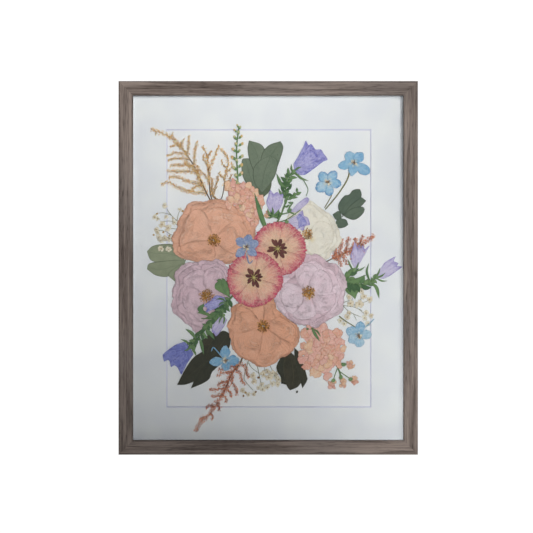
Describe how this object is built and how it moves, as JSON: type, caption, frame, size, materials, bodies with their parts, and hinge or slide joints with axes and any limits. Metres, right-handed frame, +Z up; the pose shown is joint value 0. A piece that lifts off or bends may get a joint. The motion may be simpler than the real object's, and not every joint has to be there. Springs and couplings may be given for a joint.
{
  "type": "pressed flower frame",
  "caption": "Wood picture frame, glazed and matted, showing a bouquet of pressed roses, bellflowers, delphinium, stock, leaves and plumes.",
  "frame": {"origin": "middle of the top rail's rear face, which lies against the wall", "axes": "+Z up, front faces -Y, +Y into the wall, +X to the viewer's right"},
  "size_m": [0.431, 0.025, 0.5381],
  "materials": {
    "weathered_wood": "open-grained wood stained grey-brown, matt",
    "clear_pane": "clear, polished",
    "spacer_strip": "plain off-white, matt",
    "mat_board": "cool white mat board, fine tooth, bevelled window",
    "backing_card": "white card, matt",
    "fibreboard": "brown hardboard, smooth",
    "steel": "zinc-plated, satin",
    "gold_plume": "dried flower head, straw gold",
    "rust_plume": "dried flower head, rust",
    "green_stem": "dried stem and leaf, green",
    "grey_green_leaf": "dried leaf, grey-green, fine veins",
    "dark_leaf": "dried leaf, dark olive",
    "violet_bell": "dried petal, violet-blue, veined",
    "sky_petal": "dried petal, sky blue",
    "slate_petal": "dried petal, slate blue",
    "white_petal": "dried petal, ivory",
    "peach_petal": "dried petal, peach, wrinkled",
    "lilac_petal": "dried petal, lilac, wrinkled",
    "stock_petal": "dried petal, pale apricot",
    "crimson_petal": "dried petal, cream to crimson edge, veined",
    "gold_stamen": "dried stamens, gold-brown",
    "cream_bloom": "dried small blooms, cream"
  },
  "bodies": {
    "root": {"back_board": "fibreboard", "backing_card": "backing_card", "campanula_left_bell": "violet_bell", "campanula_left_stem": "green_stem", "campanula_right_bell_lower": "violet_bell", "campanula_right_bell_upper": "violet_bell", "campanula_right_stem": "green_stem", "campanula_top_bell": "violet_bell", "campanula_top_pale_bell": "violet_bell", "campanula_top_stem": "green_stem", "delphinium_bottom": "sky_petal", "delphinium_centre": "slate_petal", "delphinium_right": "sky_petal", "delphinium_top_left": "sky_petal", "delphinium_top_right": "sky_petal", "eucalyptus_bottom_left": "dark_leaf", "eucalyptus_bottom_right": "dark_leaf", "eucalyptus_left": "grey_green_leaf", "eucalyptus_right": "grey_green_leaf", "eucalyptus_top": "grey_green_leaf", "frame_bottom": "weathered_wood", "frame_left": "weathered_wood", "frame_right": "weathered_wood", "frame_top": "weathered_wood", "glass_pane": "clear_pane", "gold_astilbe_main": "gold_plume", "gold_astilbe_side": "gold_plume", "gypsophila_bottom": "cream_bloom", "gypsophila_left": "cream_bloom", "gypsophila_right": "cream_bloom", "hanger": "steel", "lilac_rose_left": "lilac_petal", "lilac_rose_left_stamens": "gold_stamen", "lilac_rose_right": "lilac_petal", "lilac_rose_right_stamens": "gold_stamen", "lower_stock": "stock_petal", "mat_board": "mat_board", "peach_rose_bottom": "peach_petal", "peach_rose_bottom_stamens": "gold_stamen", "peach_rose_left": "peach_petal", "peach_rose_left_stamens": "gold_stamen", "ranunculus_lower": "crimson_petal", "ranunculus_upper": "crimson_petal", "rust_astilbe_bottom": "rust_plume", "rust_astilbe_right": "rust_plume", "spacer_bottom": "spacer_strip", "spacer_left": "spacer_strip", "spacer_right": "spacer_strip", "spacer_top": "spacer_strip", "tab_bottom": "steel", "tab_left_1": "steel", "tab_left_2": "steel", "tab_right_1": "steel", "tab_right_2": "steel", "tab_top": "steel", "upper_stock": "stock_petal", "white_rose": "white_petal", "white_rose_stamens": "gold_stamen"}
  },
  "joints": []
}
